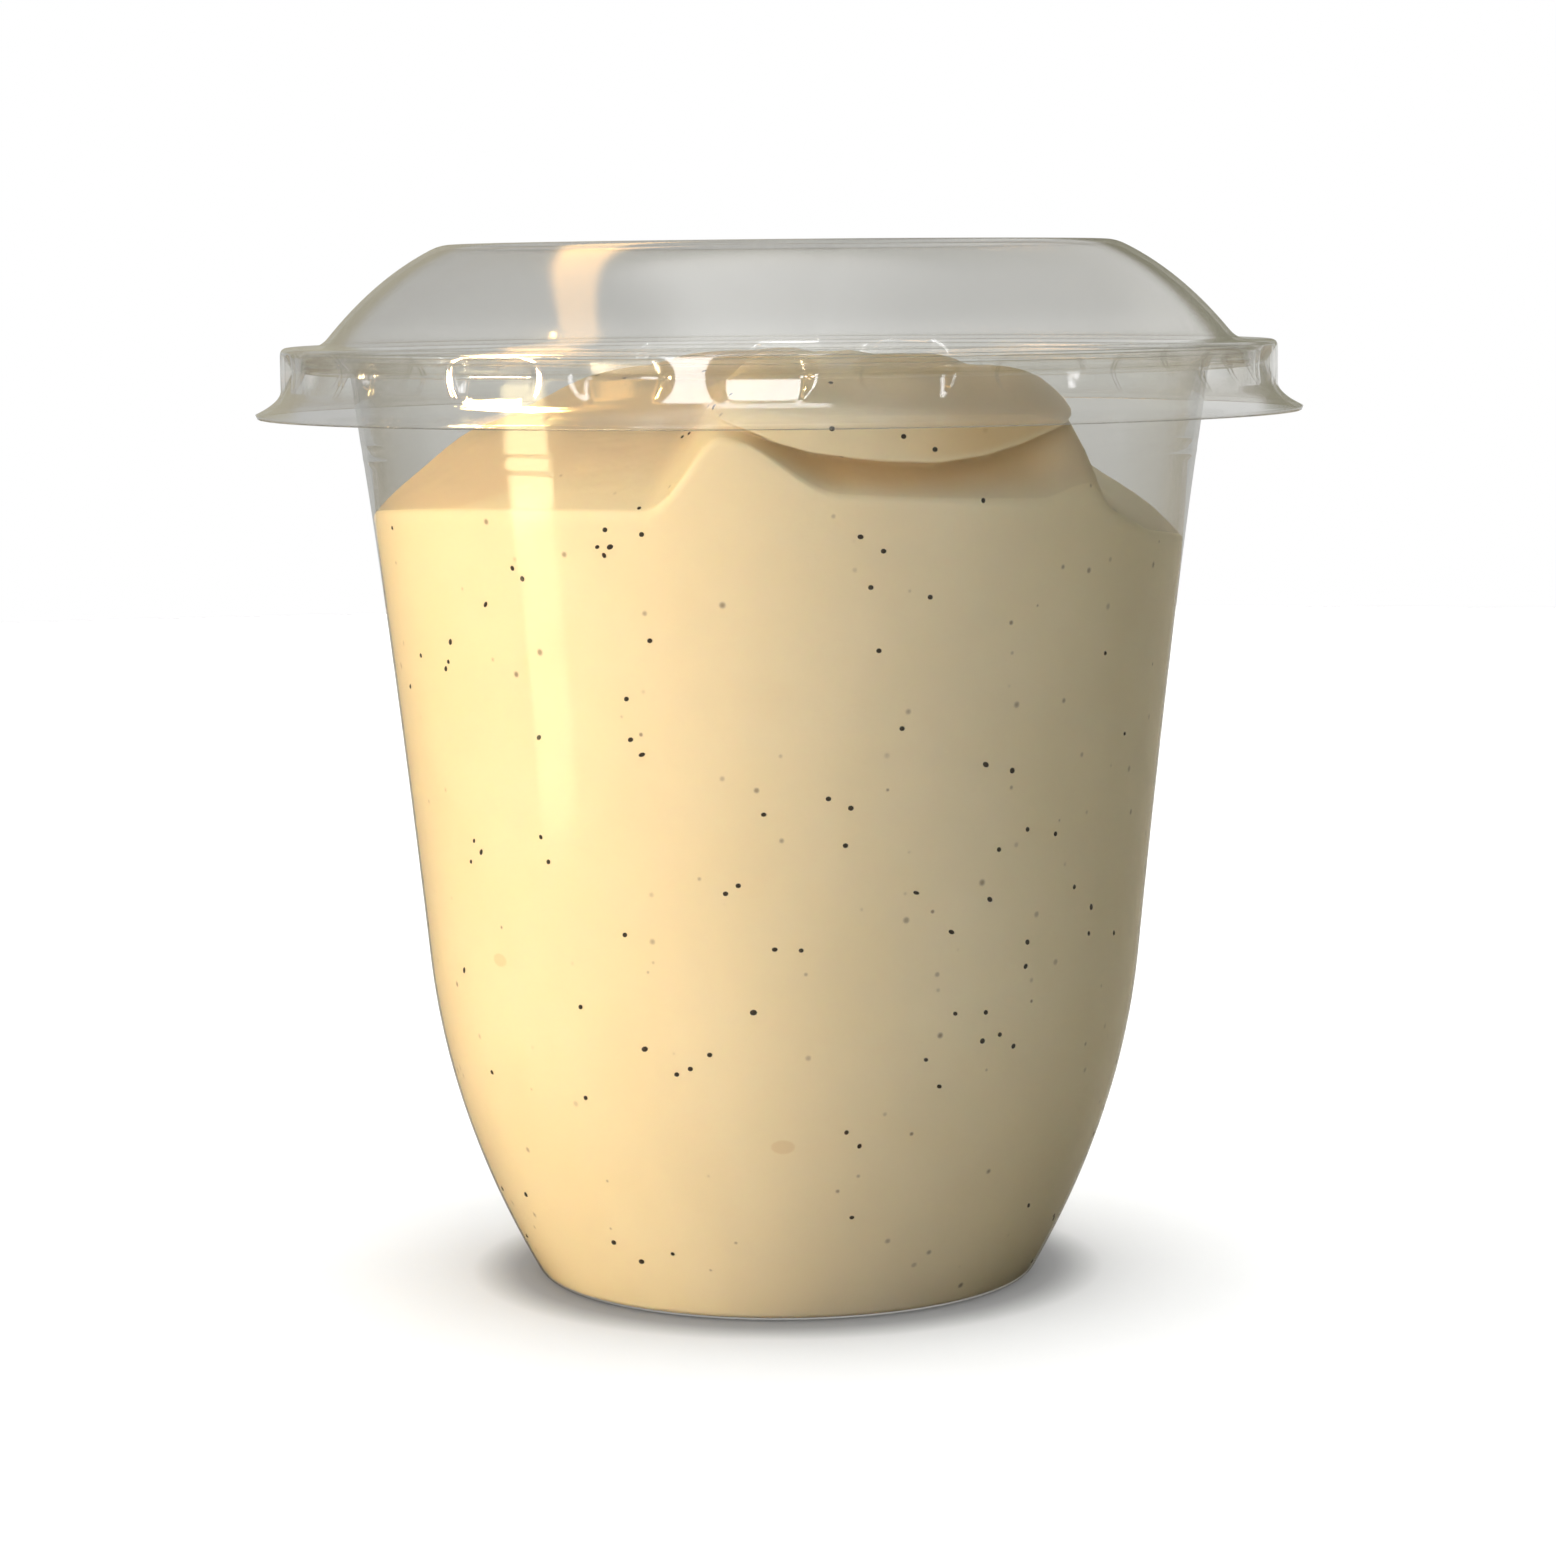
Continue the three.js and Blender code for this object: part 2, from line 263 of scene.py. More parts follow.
def cup_section():
    outside = cup_outside()
    inside = offset_section(outside, CUP_WALL)
    return [*beaded(soften(outside, CUP_ROUNDING)), *beaded(soften(inside, CUP_ROUNDING))[::-1]]


def lid_section():
    outside = lid_outside()
    inside = offset_section(outside, -LID_WALL)
    rows = [with_rows(soften(side, LID_ROUNDING), *LUG_ROWS) for side in (inside, outside)]
    return [*rows[0], *rows[1][::-1]]


# ---------------------------------------------------------------- trees of nodes

class Nodes:
    """Short calls that add nodes to a tree."""

    def __init__(self, tree):
        self.tree = tree

    def add(self, kind, inputs=(), **settings):
        """A new node's outputs. inputs gives its sockets a value or another node's output."""
        made = self.tree.nodes.new(kind)
        for key, value in settings.items():
            setattr(made, key, value)
        for key, value in dict(inputs).items():
            if isinstance(value, bpy.types.NodeSocket):
                self.tree.links.new(value, made.inputs[key])
            else:
                made.inputs[key].default_value = value
        return made.outputs

    def maths(self, operation, *values):
        return self.add("ShaderNodeMath", enumerate(values), operation=operation)[0]

    def ramp(self, value, low, high, to_low=0.0, to_high=1.0, shape="LINEAR"):
        """Value mapped from low..high to to_low..to_high, held at the ends."""
        return self.add("ShaderNodeMapRange", {0: value, 1: low, 2: high, 3: to_low, 4: to_high},
                        interpolation_type=shape, clamp=True)[0]

    def smooth(self, value, low, high):
        """Value eased from 0 at low to 1 at high."""
        return self.ramp(value, low, high, shape="SMOOTHSTEP")


class ShapeTree(Nodes):
    """A tree of geometry nodes with named inputs for its sizes."""

    KINDS = {int: "NodeSocketInt", float: "NodeSocketFloat",
             bpy.types.Material: "NodeSocketMaterial", bpy.types.Object: "NodeSocketObject"}

    def __init__(self, name, sizes):
        super().__init__(bpy.data.node_groups.new(name, "GeometryNodeTree"))
        face = self.tree.interface
        face.new_socket("Geometry", in_out="INPUT", socket_type="NodeSocketGeometry")
        self.identifiers = {}
        for label, value in sizes.items():
            added = face.new_socket(label, in_out="INPUT", socket_type=self.KINDS[type(value)])
            self.identifiers[label] = added.identifier
        face.new_socket("Geometry", in_out="OUTPUT", socket_type="NodeSocketGeometry")
        self.given = self.tree.nodes.new("NodeGroupInput").outputs
        self.sizes = sizes

    def scaled(self, vector, factor):
        return self.add("ShaderNodeVectorMath", {0: vector, "Scale": factor},
                        operation="SCALE")["Vector"]

    def random_vector(self, low, high, seed):
        return self.add("FunctionNodeRandomValue", {0: low, 1: high, "Seed": seed},
                        data_type="FLOAT_VECTOR")[0]

    def nearest_on(self, mesh, value):
        """A value's reading at the nearest place on a mesh."""
        return self.add("GeometryNodeSampleNearestSurface", {"Mesh": mesh, "Value": value},
                        data_type="FLOAT_VECTOR")[0]

    def end(self, geometry):
        """Realises instances, sets the material and closes the tree."""
        whole = self.add("GeometryNodeRealizeInstances", {0: geometry})[0]
        smooth = self.add("GeometryNodeSetShadeSmooth", {0: whole})[0]
        done = self.add("GeometryNodeSetMaterial", {
            "Geometry": smooth, "Material": self.given["Material"]})[0]
        self.add("NodeGroupOutput", {0: done})

    def grow(self, base, name):
        """Runs the tree on a base object and returns its result as a plain mesh object."""
        modifier = base.modifiers.new(self.tree.name, "NODES")
        modifier.node_group = self.tree
        for label, value in self.sizes.items():
            modifier[self.identifiers[label]] = value
        evaluated = base.evaluated_get(bpy.context.evaluated_depsgraph_get())
        mesh = bpy.data.meshes.new_from_object(evaluated)
        mesh.name = name
        base.modifiers.remove(modifier)
        mesh.materials.clear()
        mesh.materials.append(self.sizes["Material"])
        mesh.polygons.foreach_set("material_index", [0] * len(mesh.polygons))
        return placed(name, mesh)


def placed(name, mesh):
    """A new object in the scene, at the origin."""
    made = bpy.data.objects.new(name, mesh)
    bpy.context.scene.collection.objects.link(made)
    return made


def points_object(name, places):
    """A bare set of points, given in mm, for a tree to work from."""
    mesh = bpy.data.meshes.new(name)
    mesh.from_pydata([tuple(c * MM for c in place) for place in places], [], [])
    return placed(name, mesh)


def turned_grid(tree, columns, rows):
    """The grid that is wrapped round the axis: its mesh, share round the axis and section point."""
    grid = tree.add("GeometryNodeMeshGrid", {
        "Size X": 1.0, "Size Y": 1.0,
        "Vertices X": tree.maths("ADD", columns, 1), "Vertices Y": rows})
    place = tree.add("ShaderNodeSeparateXYZ", {0: tree.add("GeometryNodeInputPosition")[0]})
    round_share = tree.maths("ADD", place[0], 0.5)
    row = tree.maths("ROUND", tree.maths("MULTIPLY", tree.maths("ADD", place[1], 0.5),
                                         tree.maths("SUBTRACT", rows, 1)))
    section = tree.add("GeometryNodeSampleIndex", {
        "Geometry": tree.given["Geometry"], "Index": row,
        "Value": tree.add("GeometryNodeInputPosition")[0]},
        data_type="FLOAT_VECTOR", domain="POINT")
    here = tree.add("ShaderNodeSeparateXYZ", {0: section[0]})
    return grid["Mesh"], round_share, here[0], here[2]


def wrap(tree, grid, angle, radius, height):
    """Moves the grid's points to their place round the axis and joins its seam and poles."""
    x = tree.maths("MULTIPLY", radius, tree.maths("SINE", angle))
    y = tree.maths("MULTIPLY", radius, tree.maths("MULTIPLY", tree.maths("COSINE", angle), -1.0))
    place = tree.add("ShaderNodeCombineXYZ", {0: x, 1: y, 2: height})[0]
    wrapped = tree.add("GeometryNodeSetPosition", {"Geometry": grid, "Position": place})[0]
    return tree.add("GeometryNodeMergeByDistance", {"Geometry": wrapped, "Distance": 2e-6})[0]


def turned_wall_tree(material):
    """A closed section turned round the axis."""
    tree = ShapeTree("Turned wall", {"Segments": CUP_SEGMENTS, "Rows": 2, "Material": material})
    grid, share, radius, height = turned_grid(tree, tree.given["Segments"], tree.given["Rows"])
    angle = tree.maths("MULTIPLY", share, 2 * math.pi)
    tree.end(wrap(tree, grid, angle, radius, height))
    return tree


def lug_fade(tree, height):
    """How far a height is from a lug's crease, from 0 there to 1 at its top or foot."""
    given = tree.given
    crease = given["Lug Crease"]
    rising = tree.ramp(height, given["Lug Top"], crease, 1.0, 0.0)
    falling = tree.ramp(height, given["Lug Foot"], crease, 1.0, 0.0)
    return tree.maths(
        "MAXIMUM", tree.maths("MULTIPLY", rising, tree.maths("GREATER_THAN", height, crease)),
        tree.maths("MULTIPLY", falling, tree.maths("LESS_THAN", height, crease)))


def lugged_wall_tree(material):
    """A closed section turned round the axis, with lugs pressed into its skirt. The columns
    of the mesh follow the lugs' curved ends."""
    tree = ShapeTree("Turned wall with lugs", {
        "Rows": 2, "Lug Count": LUG_COUNT, "Columns per Lug": COLUMNS_PER_LUG,
        "Lug Phase": math.radians(LUG_PHASE), "Lug Half Width": math.radians(LUG_HALF_WIDTH),
        "Lug End Width": math.radians(LUG_END_WIDTH), "Lug Depth": LUG_DEPTH * MM,
        "Lug Top": LUG_TOP * MM, "Lug Crease": LUG_CREASE * MM, "Lug Foot": LUG_FOOT * MM,
        "Lug Taper": LUG_TAPER, "Material": material})
    given = tree.given
    count = given["Lug Count"]
    end_width = given["Lug End Width"]
    columns = tree.maths("MULTIPLY", count, given["Columns per Lug"])
    grid, share, radius, height = turned_grid(tree, columns, given["Rows"])

    turns = tree.maths("MULTIPLY", share, count)
    lug = tree.maths("FLOOR", tree.maths("ADD", turns, 1e-4))
    across = tree.maths("SUBTRACT", tree.maths("SUBTRACT", turns, lug), 0.5)
    off_middle = tree.maths("ABSOLUTE", across)
    half_pitch = tree.maths("DIVIDE", math.pi, count)

    away = lug_fade(tree, height)
    narrowing = tree.maths("SUBTRACT", 1.0, tree.maths(
        "MULTIPLY", given["Lug Taper"], tree.maths("MULTIPLY", away, away)))
    half_width = tree.maths("MULTIPLY", given["Lug Half Width"], narrowing)
    floor_half = tree.maths("SUBTRACT", half_width, end_width)
    between_lugs = tree.maths("SUBTRACT", half_pitch, half_width)

    on_floor = tree.ramp(off_middle, 0.0, LUG_FLOOR_SHARE, 0.0, floor_half)
    on_end = tree.ramp(off_middle, LUG_FLOOR_SHARE, LUG_END_SHARE, 0.0, end_width)
    on_skirt = tree.ramp(off_middle, LUG_END_SHARE, 0.5, 0.0, between_lugs)
    turn = tree.maths("ADD", tree.maths("ADD", on_floor, on_end), on_skirt)
    middle = tree.maths("MULTIPLY", tree.maths("MULTIPLY", lug, half_pitch), 2.0)
    angle = tree.maths("ADD", tree.maths("ADD", middle, given["Lug Phase"]),
                       tree.maths("MULTIPLY", turn, tree.maths("SIGN", across)))

    inside_ends = tree.ramp(off_middle, LUG_FLOOR_SHARE, LUG_END_SHARE, 1.0, 0.0, "SMOOTHSTEP")
    pressed = tree.maths("MULTIPLY", inside_ends, tree.maths("SUBTRACT", 1.0, away))
    depth = tree.maths("MULTIPLY", given["Lug Depth"], pressed)
    tree.end(wrap(tree, grid, angle, tree.maths("SUBTRACT", radius, depth), height))
    return tree


def seeds_tree(material, front_places):
    """Flat little seeds in small clumps, partly sunk in the skin of the ice cream: some at
    given places on the front, the rest scattered."""
    tree = ShapeTree("Vanilla seeds", {
        "Clumps per Square Metre": 6000.0, "Spread": 2.2 * MM, "Seed Size": 0.33 * MM,
        "Sink": 0.06 * MM, "Random Seed": 11, "Front Places": front_places,
        "Material": material})
    given = tree.given
    skin = given["Geometry"]

    clumps = tree.add("GeometryNodeDistributePointsOnFaces", {
        "Mesh": skin, "Density": given["Clumps per Square Metre"], "Seed": given["Random Seed"]},
        distribute_method="RANDOM")["Points"]
    roll = tree.add("FunctionNodeRandomValue", {2: 0.0, 3: 1.0, "Seed": 3}, data_type="FLOAT")[1]
    extra = tree.maths("ADD", *(tree.maths("GREATER_THAN", roll, least) for least in (0.80, 0.97)))
    seeds = tree.add("GeometryNodeDuplicateElements", {
        "Geometry": clumps, "Amount": tree.maths("ADD", 1.0, extra)}, domain="POINT")["Geometry"]
    stray = tree.scaled(tree.random_vector((-1, -1, -1), (1, 1, 1), 5), given["Spread"])
    strayed = tree.add("GeometryNodeSetPosition", {"Geometry": seeds, "Offset": stray})[0]

    front = tree.add("GeometryNodeObjectInfo", {"Object": given["Front Places"]})["Geometry"]
    placed_by_hand = tree.add("GeometryNodeMeshToPoints", {"Mesh": front})[0]
    gathered = tree.add("GeometryNodeJoinGeometry")[0]
    for points in (placed_by_hand, strayed):
        tree.tree.links.new(points, gathered.node.inputs[0])

    nearest = tree.nearest_on(skin, tree.add("GeometryNodeInputPosition")[0])
    facing = tree.nearest_on(skin, tree.add("GeometryNodeInputNormal")[0])
    inward = tree.scaled(facing, tree.maths("MULTIPLY", given["Sink"], -1.0))
    kept = tree.add("GeometryNodeSetPosition", {
        "Geometry": gathered, "Position": nearest, "Offset": inward})[0]
    grains = tree.add("GeometryNodeInstanceOnPoints", {
        "Points": kept,
        "Instance": tree.add("GeometryNodeMeshUVSphere", {
            "Segments": 8, "Rings": 5, "Radius": given["Seed Size"]})[0],
        "Rotation": tree.add("FunctionNodeAlignRotationToVector", {"Vector": facing}, axis="Z")[0],
        "Scale": tree.random_vector((0.70, 0.60, 0.45), (1.25, 1.0, 0.6), 7)})[0]
    tree.end(grains)
    return tree


# ---------------------------------------------------------------- the ice cream

def smoothstep(low, high, value):
    t = min(max((value - low) / (high - low), 0), 1)
    return t * t * (3 - 2 * t)


def lerp(low, high, t):
    return low + (high - low) * t


def stretch(value, limits):
    """1 between the two middle limits, 0 outside the two outer ones."""
    starts, full, fades, ends = limits
    return smoothstep(starts, full, value) * (1 - smoothstep(fades, ends, value))


def contact_height(angle):
    """Height up to which the ice cream lies against the wall."""
    turn = math.radians(angle)
    return (CONTACT_LEVEL + FRONT_RISE * math.cos(turn) - RIGHT_DROP * math.sin(turn)
            + TWICE_ROUND_RISE * math.cos(2 * turn) + SHOULDER_RISE * stretch(angle, SHOULDER)
            + BENCH_RISE * stretch(angle, BENCH) + HUMP_RISE * stretch(angle, HUMP))


def crevice_share(t):
    """The crevice's section: it leaves the wall softly and turns sharply under the lip."""
    return t ** 1.6 * (1 - t ** 9) if t < 1 else 0


def heap_point(angle, t, wall_radius):
    """A section of the heap: up the crevice under the lobe (t from 0 to 1), up the flank
    (1 to 2) and over the crown to the axis (2 to 3)."""
    share = stretch(angle, LOBE)
    slope = lerp(MOUND_ROUNDNESS[1], LEAN_ROUNDNESS, stretch(angle, LEAN_SIDE))
    side = lerp(MOUND_ROUNDNESS[0], LOBE_ROUNDNESS[0], share)
    top = lerp(slope, LOBE_ROUNDNESS[1], share)
    low = contact_height(angle)
    rise = MOUND_TOP - low
    turn = low + rise * (1 - SIDE_SHARE ** top) ** (1 / side)
    lip = LIP_HEIGHT + LIP_RISE * ((angle - LIP_ANGLE) / LIP_HALF_WIDTH) ** 2
    lip = max(min(lip, low + LIP_MAX_SHARE * (turn - low)), low + LIP_MIN_RISE)
    if t > 2:
        radius_share = SIDE_SHARE * (3 - t)
        height = low + rise * (1 - radius_share ** top) ** (1 / side)
    else:
        height = lerp(low, lip, t) if t < 1 else lerp(lip, turn, t - 1)
        radius_share = (1 - ((height - low) / rise) ** side) ** (1 / top)
    crevice = CREVICE_DEPTH * share * crevice_share(t)
    radius = (wall_radius(height) - crevice) * radius_share
    swirl = (SWIRL_HEIGHT * radius_share * (height - low) / rise
             * math.sin(math.radians(angle) - 2 * math.pi * radius / SWIRL_PITCH))
    return radius, height + swirl


def unevenness(x, y, z):
    """Soft lumps and fine ripples of a scooped surface, in mm."""
    here = Vector((x, y, z))
    return sum(height * noise.noise(here / size + Vector(shift)) for height, size, shift in LUMPS)


# the steps t at which heap_point gives the heap's rows: up the crevice, the flank and the crown
HEAP_STEPS = [1e-3, *np.linspace(0, 1, 22)[1:], *np.linspace(1, 2, 34)[1:],
              *np.linspace(2, 3, 40)[1:-1]]


def stood_up(angle, section):
    """The points of a section that stands at an angle round the axis."""
    turn = math.radians(angle)
    return [(r * math.sin(turn), -r * math.cos(turn), height) for r, height in section]


def wall_column(angle, bed, wall_start, wall_radius):
    """The ice cream's underside and wall at an angle, up to its contact line."""
    low, contact = bed[wall_start - 1][1], contact_height(angle)
    heights = [lerp(low, contact, i / WALL_ROWS) for i in range(1, WALL_ROWS + 1)]
    return stood_up(angle, [*bed[1:wall_start], *((wall_radius(h), h) for h in heights)])


def heap_column(angle, wall_radius):
    """The heap at an angle, from the contact line to the ring next to its summit."""
    section = [heap_point(angle, t, wall_radius) for t in HEAP_STEPS[1:]]
    lumpy = []
    for row, (x, y, z) in enumerate(stood_up(angle, section)):
        lump = smoothstep(0, LUMP_ROWS, row) * unevenness(x, y, z)
        lean = 1 - LUMP_LEAN * lump / LUMP_REACH
        lumpy.append((x * lean, y * lean, z + lump))
    return section, lumpy


def heap_painted_shades(angle, section, wall_radius):
    """For each point of the heap's section, its share of painted shade in the crevice under the lobe
    and on the lobe's face, and its share of painted shade where it stands clear of the wall.
    The crevice and face shade is that of the step below."""
    lobe = stretch(angle, LOBE)
    air_shade_kept = 1 - AIR_SHADE_LOST * max(lobe, stretch(angle, RIGHT_SIDE))
    full_gap = lerp(*AIR_SHADE_GAP, stretch(angle, SOFT_SIDE))
    face_shade = FACE_SHADE * smoothstep(*FACE_SHADE_SIDE, angle)
    hollow_shades = []
    air_shade_shares = []
    for row, (t, (r, height)) in enumerate(zip(HEAP_STEPS, section)):
        # Painted shade under the lobe's lip and on its face.
        lip_shade_share = smoothstep(0, LIP_SHADE_FULL, t) * (1 - t ** 12) if t < 1 else 0
        face_shade_share = face_shade * stretch(t, FACE_SHADE_STEPS)
        hollow_shades.append(lobe * (lip_shade_share + face_shade_share))
        # Painted shade, fuller as the heap stands further from the wall.
        gap = wall_radius(height) - r if row else 0
        air_shade_shares.append(smoothstep(0, full_gap, gap) * air_shade_kept)
    return hollow_shades, air_shade_shares


def ice_cream_mesh():
    """The ice cream as a closed mesh, which also carries its shares of painted shade: in the
    crevice and on the lobe's face, and where the heap stands clear of the wall.
    """
    bed = soften(offset_section(cup_outside(), CUP_WALL - BED_SINK), CUP_ROUNDING)
    bed = bed[:next(i for i, p in enumerate(bed) if p[1] > BED_TOP)]
    wall_start = next(i for i, p in enumerate(bed) if p[1] > EVEN_ROWS_START)
    radii, heights = zip(*bed[BED_UNDERSIDE_POINTS:])
    wall_radius = lambda height: float(np.interp(height, heights, radii))

    places = [(0, 0, bed[0][1])]
    # Painted shade: in the crevice and on the lobe's face, and where the heap stands clear of the wall.
    shares = {"painted_hollow_shade": [0.0], "painted_air_shade": [0.0]}
    for column in range(ICE_COLUMNS):
        angle = -180 + 360 * column / ICE_COLUMNS
        wall = wall_column(angle, bed, wall_start, wall_radius)
        section, heap = heap_column(angle, wall_radius)
        places += [*wall, *heap]
        for name, values in zip(shares, heap_painted_shades(angle, section, wall_radius)):
            shares[name] += [*([0.0] * len(wall)), *values]
    rows = len(wall) + len(heap)
    summit = len(places)
    places.append((0, 0, MOUND_TOP + unevenness(0, 0, MOUND_TOP)))
    shares["painted_hollow_shade"].append(0.0)
    shares["painted_air_shade"].append(1.0)

    corner = lambda column, row: 1 + (column % ICE_COLUMNS) * rows + row
    faces = []
    for c in range(ICE_COLUMNS):
        faces.append((0, corner(c + 1, 0), corner(c, 0)))
        faces += [(corner(c, r), corner(c + 1, r), corner(c + 1, r + 1), corner(c, r + 1))
                  for r in range(rows - 1)]
        faces.append((corner(c, rows - 1), corner(c + 1, rows - 1), summit))
    mesh = bpy.data.meshes.new("ice_cream_fill")
    mesh.from_pydata([tuple(c * MM for c in p) for p in places], [], faces)
    mesh.polygons.foreach_set("use_smooth", [True] * len(faces))
    for name, values in shares.items():
        mesh.attributes.new(name, "FLOAT", "POINT").data.foreach_set("value", values)
    mesh.update()
    return mesh


# ---------------------------------------------------------------- materials

class Finish(Nodes):
    """A material's tree of nodes."""

    def __init__(self, name):
        self.material = bpy.data.materials.new(name)
        self.material.use_nodes = True
        super().__init__(self.material.node_tree)
        self.tree.nodes.clear()

    def object_place(self, scale=(1, 1, 1)):
        place = self.add("ShaderNodeTexCoord")["Object"]
        return self.add("ShaderNodeMapping", {"Vector": place, "Scale": scale})[0]

    def noise(self, place, scale, detail=2.0, roughness=0.5):
        return self.add("ShaderNodeTexNoise", {
            "Vector": place, "Scale": scale, "Detail": detail, "Roughness": roughness})["Fac"]

    def cells(self, place, scale):
        """Scattered cells: the distance to each one's middle and its three random numbers."""
        made = self.add("ShaderNodeTexVoronoi", {
            "Vector": place, "Scale": scale, "Randomness": 1.0}, feature="F1")
        return made["Distance"], self.add("ShaderNodeSeparateColor", {0: made["Color"]})

    def mix(self, share, first, second):
        """A colour between two, each given as (r, g, b) or as an output."""
        first, second = (colour if isinstance(colour, bpy.types.NodeSocket) else (*colour, 1)
                         for colour in (first, second))
        return self.add("ShaderNodeMix", {0: share, 6: first, 7: second}, data_type="RGBA")[2]

    def bump(self, height, strength, distance, **below):
        """Relief in the normal, over another relief where Normal is given."""
        return self.add("ShaderNodeBump", {
            "Height": height, "Strength": strength, "Distance": distance, **below})[0]

    def marked(self, name):
        """The mesh's own share of that name."""
        return self.add("ShaderNodeAttribute", attribute_name=name)["Fac"]

    def surface(self, shader):
        self.add("ShaderNodeOutputMaterial", {"Surface": shader})
        return self.material


def clear_plastic(name, tint, edge_tint, drawn_strength):
    """Clear thermoformed sheet, too thin to bend what is behind it. Each of its faces mirrors
    4% square on and more at a slant, where the sheet also looks darker."""
    finish = Finish(name)
    drawn = finish.noise(finish.object_place((1, 1, 0.12)), 260.0)
    broad = finish.noise(finish.object_place(), 70.0, roughness=0.4)
    relief = finish.bump(drawn, drawn_strength, 0.04 * MM)
    relief = finish.bump(broad, 0.3, 0.2 * MM, Normal=relief)
    slant = finish.add("ShaderNodeLayerWeight", {"Blend": 0.5})["Facing"]
    mirrored = finish.maths("MULTIPLY_ADD", finish.maths("POWER", slant, 5.0), 0.9, 0.04)
    darker = finish.maths("POWER", slant, 3.0)
    passed = finish.add("ShaderNodeBsdfTransparent", {"Color": finish.mix(darker, tint, edge_tint)})[0]
    gloss = finish.add("ShaderNodeBsdfPrincipled", {
        "Base Color": (0.97, 0.97, 0.97, 1), "Metallic": 1.0, "Normal": relief,
        "Roughness": finish.ramp(broad, 0.35, 0.7, 0.045, 0.10)})[0]
    return finish.surface(finish.add("ShaderNodeMixShader", {0: mirrored, 1: passed, 2: gloss})[0])


def sunken_seeds(finish, place):
    """Soft round dots, some larger and some deeper than others."""
    distance, (kind, size, depth) = finish.cells(place, 400.0)
    near = finish.maths("DIVIDE", distance, finish.ramp(size, 0.0, 1.0, 0.09, 0.20))
    soft = finish.ramp(near, 0.25, 1.0, 1.0, 0.0, "SMOOTHSTEP")
    chosen = finish.maths("GREATER_THAN", kind, 0.60)
    return finish.maths("MULTIPLY", finish.maths("MULTIPLY", soft, chosen),
                        finish.ramp(depth, 0.0, 1.0, 0.3, 0.9))


def pale_flecks(finish):
    """A few faint flecks, wider than high."""
    distance, (kind, _, _) = finish.cells(finish.object_place((0.8, 0.8, 1.25)), 95.0)
    fleck = finish.ramp(distance, 0.075, 0.10, 1.0, 0.0, "SMOOTHSTEP")
    chosen = finish.maths("GREATER_THAN", kind, 0.90)
    return finish.maths("MULTIPLY", finish.maths("MULTIPLY", fleck, chosen), 0.45)


def vanilla():
    """Smooth ice cream with faint cloudy patches, sunken seeds that show as soft grey-brown
    dots, and a few pale flecks. Painted shade makes it deeper and more orange in the crevice
    under the lobe and on its face, and darker where it stands clear of the wall."""
    finish = Finish("vanilla ice cream")
    place = finish.object_place()
    cloud = finish.noise(place, 42.0, 3.0, 0.55)
    mottle = finish.noise(place, 150.0, 3.0, 0.6)
    fine = finish.noise(place, 900.0, 2.0, 0.6)
    # Painted shade where the heap stands clear of the wall.
    air_shade_share = finish.maths("MULTIPLY", finish.marked("painted_air_shade"), 0.9)
    cream = (0.91, 0.82, 0.61)
    for share, colour in (
            (finish.ramp(cloud, 0.35, 0.68), (0.86, 0.77, 0.55)),
            (finish.ramp(mottle, 0.45, 0.75, 0.0, 0.45), (0.84, 0.75, 0.55)),
            (sunken_seeds(finish, place), (0.26, 0.21, 0.15)),
            (pale_flecks(finish), (0.72, 0.55, 0.33)),
            # painted shade: deeper and more orange in the crevice under the lobe and on its face
            (finish.marked("painted_hollow_shade"), (0.74, 0.54, 0.26)),
            # painted shade: darker where the heap stands clear of the wall
            (air_shade_share, (0.80, 0.65, 0.475))):
        cream = finish.mix(share, cream, colour)
    return finish.surface(finish.add("ShaderNodeBsdfPrincipled", {
        "Base Color": cream, "Roughness": finish.ramp(cloud, 0.3, 0.7, 0.42, 0.56), "IOR": 1.36,
        "Normal": finish.bump(fine, 0.25, 0.12 * MM), "Subsurface Weight": 0.3,
        "Subsurface Radius": (1.0, 0.75, 0.45), "Subsurface Scale": 2 * MM})[0])


def seed_skin():
    """Dry black-brown seed coat."""
    finish = Finish("vanilla seed")
    grain = finish.noise(finish.object_place(), 4200.0)
    return finish.surface(finish.add("ShaderNodeBsdfPrincipled", {
        "Base Color": finish.mix(grain, (0.008, 0.007, 0.006), (0.035, 0.024, 0.016)),
        "Roughness": 0.45, "IOR": 1.45})[0])


